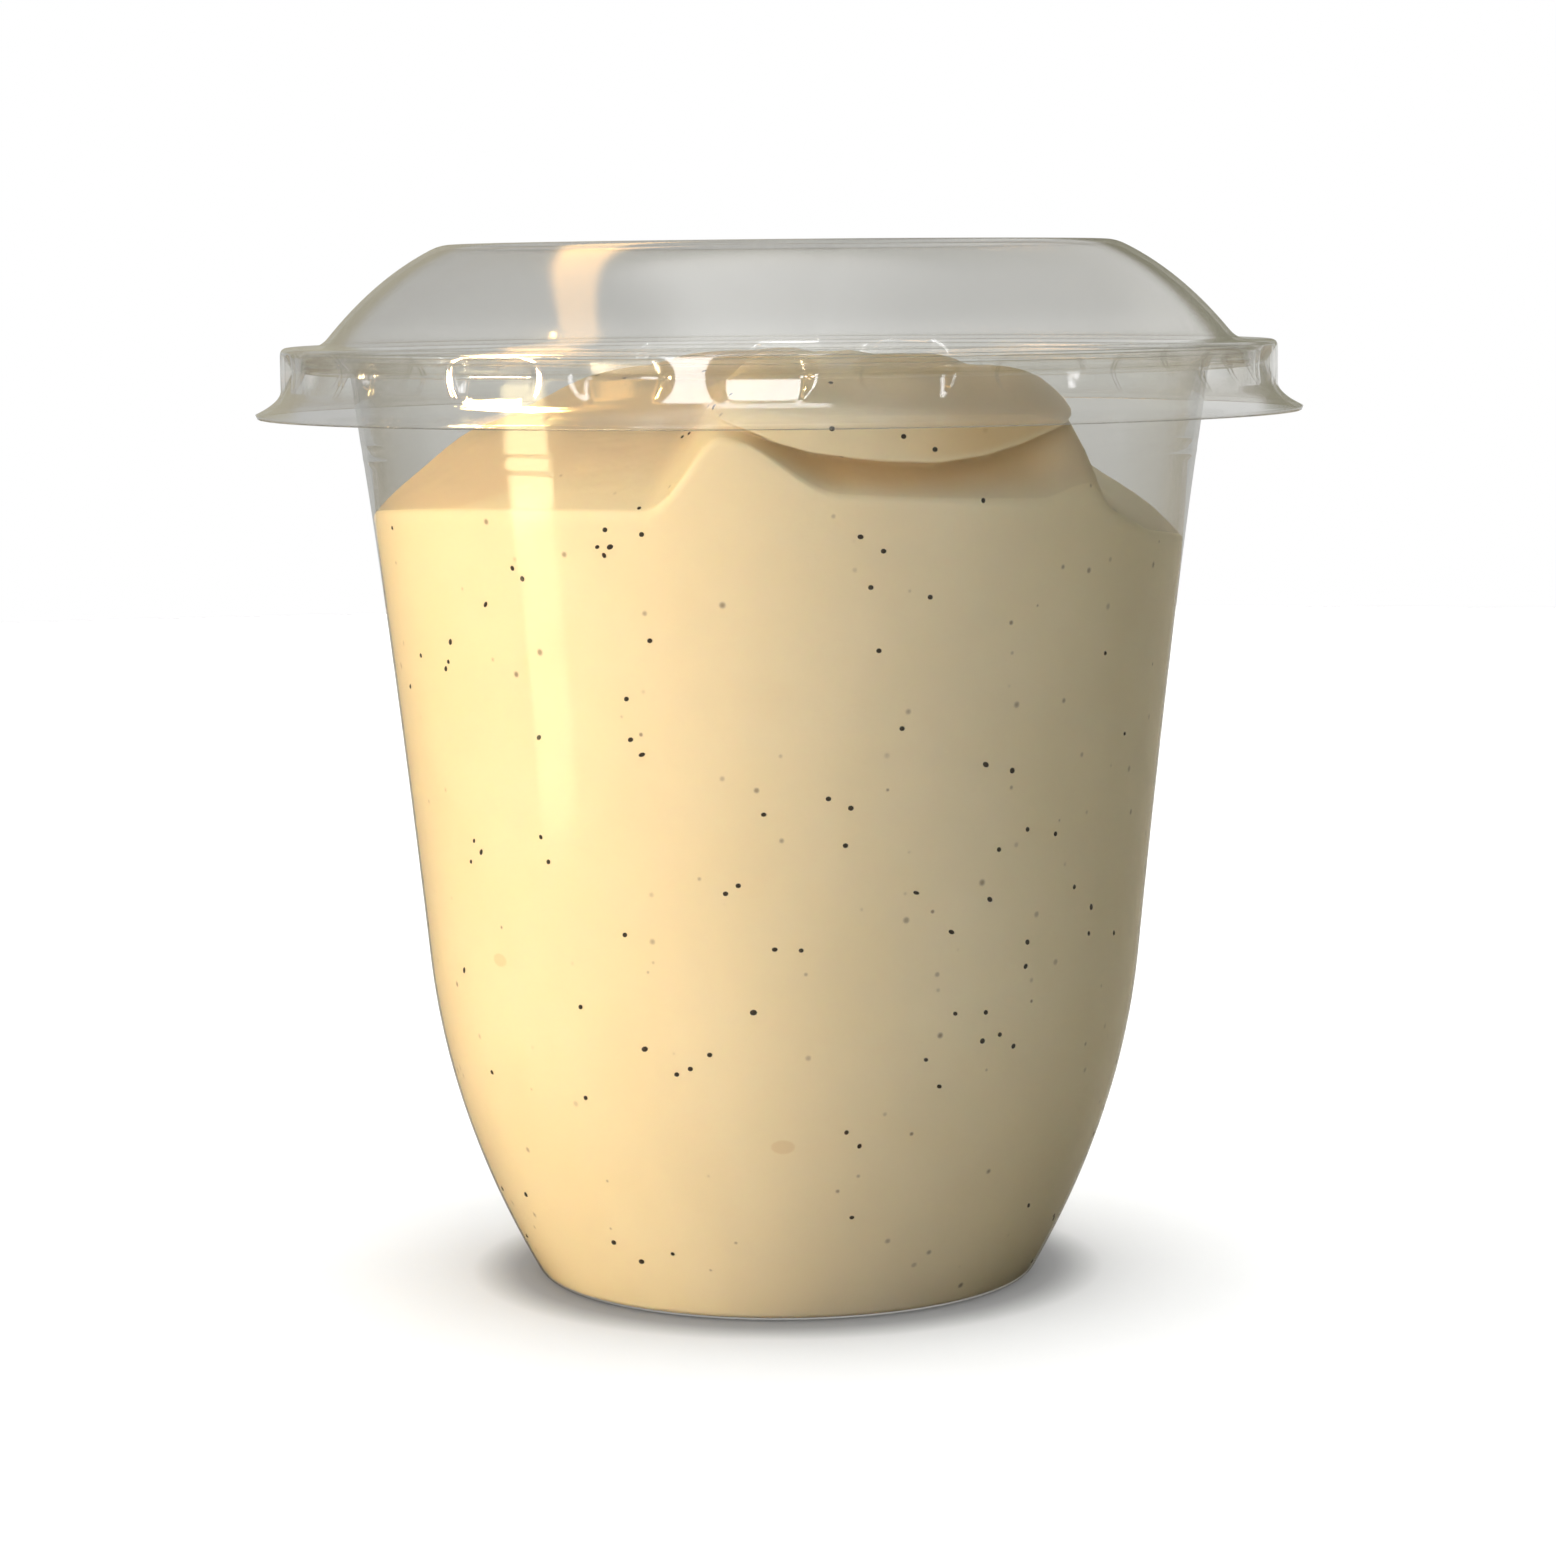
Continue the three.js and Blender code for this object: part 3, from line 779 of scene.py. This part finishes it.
def floor_finish():
    """A plain pale table with a painted contact shadow round the tub's foot, and duller in what it
    throws back. Through the clear plastic it looks an even grey."""
    finish = Finish("pale table")
    place = finish.object_place()
    speckle = finish.ramp(finish.noise(place, 60.0), 0.3, 0.7)
    off_foot = finish.add("ShaderNodeVectorMath", {0: place}, operation="LENGTH")["Value"]
    pale = finish.mix(speckle, (0.360, 0.360, 0.360), (0.355, 0.355, 0.355))
    # Painted contact shadow: the table turns dark grey within 28 mm of the tub's axis, fading out by 33
    # mm.
    pale = finish.mix(finish.ramp(off_foot, 0.028, 0.033), (0.18, 0.18, 0.18), pale)
    matt = lambda colour: finish.add("ShaderNodeBsdfDiffuse", {"Color": colour})[0]
    glow = lambda *colour: finish.add("ShaderNodeEmission", {"Color": (*colour, 1)})[0]
    choose = lambda share, first, second: finish.add(
        "ShaderNodeMixShader", {0: share, 1: first, 2: second})[0]
    seen = finish.add("ShaderNodeAddShader", {0: matt(pale), 1: glow(0.13, 0.13, 0.13)})[0]
    rays = finish.add("ShaderNodeLightPath")
    unveiled = finish.maths("LESS_THAN", rays["Transparent Depth"], 0.5)
    looked_at = choose(unveiled, glow(0.515, 0.515, 0.503), seen)
    thrown = matt((0.117, 0.103, 0.078, 1))
    return finish.surface(choose(rays["Is Camera Ray"], thrown, looked_at))


# ---------------------------------------------------------------- the tub's pieces

cup_plastic = clear_plastic("clear cup plastic", (0.985, 0.985, 0.978), (0.90, 0.895, 0.875), 0.25)
lid_plastic = clear_plastic("clear lid plastic", (0.975, 0.975, 0.970), (0.89, 0.89, 0.885), 0.15)
ice_cream_skin = vanilla()
seed_coat = seed_skin()


def turned_piece(name, section, tree):
    base = points_object(name + "_section", [(r, 0, z) for r, z in section])
    tree.sizes["Rows"] = len(section)
    piece = tree.grow(base, name)
    bpy.data.objects.remove(base)
    return piece


cup = turned_piece("clear_cup", cup_section(), turned_wall_tree(cup_plastic))
lid = turned_piece("clear_lid", lid_section(), lugged_wall_tree(lid_plastic))

ice_cream = placed("ice_cream_fill", ice_cream_mesh())
ice_cream.data.materials.append(ice_cream_skin)
seed_places = points_object("front_seed_places", [
    stood_up(angle, [(SEED_START, height)])[0] for angle, height in FRONT_SEEDS])
seeds = seeds_tree(seed_coat, seed_places).grow(ice_cream, "vanilla_seeds")
bpy.data.objects.remove(seed_places)

for piece, node, finish_slot in (
        (cup, "cup", "cup_plastic"), (lid, "lid", "lid_plastic"),
        (ice_cream, "ice_cream", "vanilla_ice_cream"), (seeds, None, "vanilla_ice_cream")):
    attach(piece, "root")
    if node:
        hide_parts(node)

# ---------------------------------------------------------------- table, light and camera

TABLE_RADIUS, TABLE_STEPS = 0.9, 96

scene = bpy.context.scene


def table_top():
    mesh = bpy.data.meshes.new("table")
    turns = [2 * math.pi * i / TABLE_STEPS for i in range(TABLE_STEPS)]
    ring = [(TABLE_RADIUS * math.cos(a), TABLE_RADIUS * math.sin(a), 0) for a in turns]
    mesh.from_pydata(ring, [], [tuple(range(TABLE_STEPS))])
    mesh.materials.append(floor_finish())
    return placed("table", mesh)


table = table_top()
table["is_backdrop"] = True


def collected(name, *pieces):
    """A loose collection, for a lamp to light or be shaded by."""
    made = bpy.data.collections.new(name)
    for piece in pieces:
        made.objects.link(piece)
    return made


whole_tub = collected("whole tub", cup, lid, ice_cream, seeds)
cup_alone = collected("cup alone", cup)
lid_alone = collected("lid alone", lid)
table_alone = collected("table alone", table)
solid_filling = collected("solid filling", ice_cream)


def lamp(name, kind, place, colour, strength, target, lights,
         shaded_by=None, diffuse=True, glossy=True):
    """A lamp that faces target, lights one collection and is shaded by one or by everything."""
    data = bpy.data.lights.new(name, kind)
    data.energy = strength
    data.color = colour
    made = placed(name, data)
    made.location = place
    made.rotation_euler = (Vector(target) - Vector(place)).to_track_quat("-Z", "Y").to_euler()
    made.visible_camera = False
    made.visible_diffuse = diffuse
    made.visible_glossy = made.visible_transmission = glossy
    made.light_linking.receiver_collection = lights
    made.light_linking.blocker_collection = shaded_by
    return made


def panel(name, place, target, size, radiance, colour, lights=whole_tub, spread=180, **seen):
    """A soft rectangular panel. radiance is how bright its face is, and spread how wide, in
    degrees, the beam is that it can be seen in."""
    power = radiance * math.pi * size[0] * size[1]
    made = lamp(name, "AREA", place, colour, power, target, lights, **seen)
    made.data.shape = "RECTANGLE"
    made.data.size, made.data.size_y = size
    made.data.spread = math.radians(spread)
    return made


def around(azimuth, elevation, distance, height=0.05):
    """A place seen from the tub at an azimuth and elevation, in degrees, and a distance."""
    a, e = math.radians(azimuth), math.radians(elevation)
    return (distance * math.sin(a) * math.cos(e), -distance * math.cos(a) * math.cos(e),
            height + distance * math.sin(e))


WARM = (1.0, 0.735, 0.385)
DAYLIGHT = (1.0, 0.99, 1.02)
STRIP = (1.0, 0.82, 0.45)
MIDDLE = (0, 0, 0.05)
LEFT_LUGS = (-0.027, -0.043, 0.09)
HIGH = (0, 0, 0.09)
BROAD = (0.5, 0.5)

panel("low sun", around(-68, 8, 0.8), MIDDLE, BROAD, 11.3, WARM, glossy=False)
panel("front window", around(-19, 6, 0.9), MIDDLE, BROAD, 4.8, DAYLIGHT, glossy=False)
panel("back window", around(150, 30, 0.8), (0, 0, 0.07), BROAD, 2.5, (1.0, 0.96, 0.88),
      glossy=False)
panel("low bounce", around(-62, -40, 0.5), (0, 0, 0.015), (0.4, 0.4), 1.0, (1.0, 0.40, 0.08),
      glossy=False, shaded_by=solid_filling)

on_lid = {"lights": lid_alone, "shaded_by": solid_filling, "diffuse": False}
on_cup = {"lights": cup_alone, "shaded_by": solid_filling, "diffuse": False}
panel("window seen", around(-22.5, 13, 0.9, 0.09), HIGH, (0.27, 0.62), 8.0, DAYLIGHT, **on_lid)
panel("window above", around(-3, 50, 0.9, 0.09), HIGH, (0.36, 0.24), 8.0, DAYLIGHT, **on_lid)
panel("low sun seen", (-0.119, -0.081, 0.092), (-0.0266, -0.0425, 0.0935), (0.024, 0.014), 16.0,
      (1.0, 0.66, 0.32), spread=24, **on_lid)
panel("warm window", (-0.180, -0.045, 0.286), (-0.025, -0.045, 0.090), (0.067, 0.078), 7.0,
      (1.0, 0.69, 0.24), spread=26, **on_lid)
panel("low sun below", around(-64, -58, 0.3, 0.09), LEFT_LUGS, (0.07, 0.24), 14.0,
      (1.0, 0.80, 0.50), spread=26, **on_lid)
panel("strip top", (-0.175, -0.081, 0.050), (0, 0, 0.062), (0.042, 0.026), 7.5, STRIP, **on_cup)
panel("strip foot", (-0.175, -0.081, 0.018), (0, 0, 0.045), (0.042, 0.034), 3.5, STRIP, **on_cup)

table_light = lamp("table light", "SUN", (0, 0, 1), (1, 1, 1), 10.2, (0, 0, 0), table_alone,
                   shaded_by=solid_filling, glossy=False)
table_light.data.angle = math.radians(70)


def room():
    """What lies round the tub. To the eye it is plain white. What the plastic mirrors or lets
    through is a grey room, with a warm strip overhead on the left and a broad soft opening
    overhead, and diffuse light comes from it dimly."""
    world = bpy.data.worlds.new("room")
    world.use_nodes = True
    nodes = Nodes(world.node_tree)
    nodes.tree.nodes.clear()
    add, maths, smooth = nodes.add, nodes.maths, nodes.smooth
    times = lambda *values: maths("MULTIPLY", *values)
    glow = lambda colour, strength: add("ShaderNodeBackground", {0: (*colour, 1), 1: strength})[0]
    both = lambda first, second: add("ShaderNodeAddShader", {0: first, 1: second})[0]
    choose = lambda share, first, second: add(
        "ShaderNodeMixShader", {0: share, 1: first, 2: second})[0]

    direction = add("ShaderNodeTexCoord")["Generated"]
    x, y, z = add("ShaderNodeSeparateXYZ", {0: direction})

    strip_side = add("ShaderNodeVectorMath", {0: direction, 1: (-0.865, 0.196, -0.461)},
                     operation="DOT_PRODUCT")["Value"]
    off_strip = maths("ABSOLUTE", maths("ADD", strip_side, -0.009))
    strip = times(maths("SUBTRACT", 1.0, smooth(off_strip, 0.035, 0.060)),
                  times(smooth(z, 0.5, 0.6), maths("LESS_THAN", x, 0.0)))
    opening = times(times(smooth(x, -0.36, -0.16), smooth(x, 0.42, -0.14)), smooth(z, 0.80, 0.92))

    low_down = maths("SUBTRACT", 1.0, smooth(z, -0.045, -0.005))
    right_edge = times(smooth(x, 0.075, 0.10), smooth(z, -0.036, -0.028))
    dull_patch = times(smooth(x, 0.10, 0.075), smooth(z, -0.014, -0.006))
    level = maths("ADD", maths("SUBTRACT", 1.0, times(low_down, 0.22)),
                  maths("SUBTRACT", times(right_edge, 0.2), times(dull_patch, 0.15)))
    across = glow((0.66, 0.66, 0.645), level)
    far_side = times(times(smooth(z, 0.0, 0.02), smooth(z, 0.35, 0.25)), smooth(y, 0.4, 0.6))
    beyond = choose(smooth(x, 0.0, 0.03), glow((0.46, 0.43, 0.33), 1.0), glow((0.25, 0.24, 0.17), 1.0))
    grey = choose(far_side, across, beyond)

    seen_through = both(both(grey, glow((1.0, 0.58, 0.20), times(strip, 4.2))),
                        glow((1.0, 0.99, 0.96), times(opening, 1.75)))
    rays = add("ShaderNodeLightPath")
    lit = choose(rays["Is Diffuse Ray"], seen_through, glow((0.48, 0.53, 0.42), 0.27))
    unveiled = times(rays["Is Camera Ray"], maths("LESS_THAN", rays["Transparent Depth"], 0.5))
    add("ShaderNodeOutputWorld", {"Surface": choose(unveiled, lit, glow((1, 1, 1), 1.0))})
    return world


scene.world = room()

CAMERA_PLACE = (-0.0005, -0.44, 0.1024)
CAMERA_TILT = math.radians(6.64)
CAMERA_ROLL = math.radians(-0.55)
CAMERA_LENS, CAMERA_SENSOR = 99.07, 36.0


def camera_at_photo_angle():
    lens = bpy.data.cameras.new("camera")
    lens.lens = CAMERA_LENS
    lens.sensor_width = CAMERA_SENSOR
    lens.clip_start = 0.01
    camera = placed("camera", lens)
    forward = Vector((0, math.cos(CAMERA_TILT), -math.sin(CAMERA_TILT)))
    right = Vector((1, 0, 0))
    up = right.cross(forward)
    rolled_right = right * math.cos(CAMERA_ROLL) + up * math.sin(CAMERA_ROLL)
    rolled_up = up * math.cos(CAMERA_ROLL) - right * math.sin(CAMERA_ROLL)
    camera.matrix_world = Matrix.Translation(CAMERA_PLACE) @ Matrix(
        (rolled_right, rolled_up, -forward)).transposed().to_4x4()
    return camera


scene.camera = camera_at_photo_angle()

scene.view_settings.view_transform = "Standard"
scene.cycles.use_denoising = True
scene.cycles.use_adaptive_sampling = True
scene.cycles.adaptive_threshold = 0.12
scene.cycles.use_light_tree = False
scene.cycles.caustics_reflective = False
scene.cycles.caustics_refractive = False
scene.cycles.max_bounces = 8
scene.cycles.diffuse_bounces = 3
scene.cycles.transparent_max_bounces = 40

({"cad": [list(corner) for corner in cad_box],
           "visual": [list(corner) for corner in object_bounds()]})
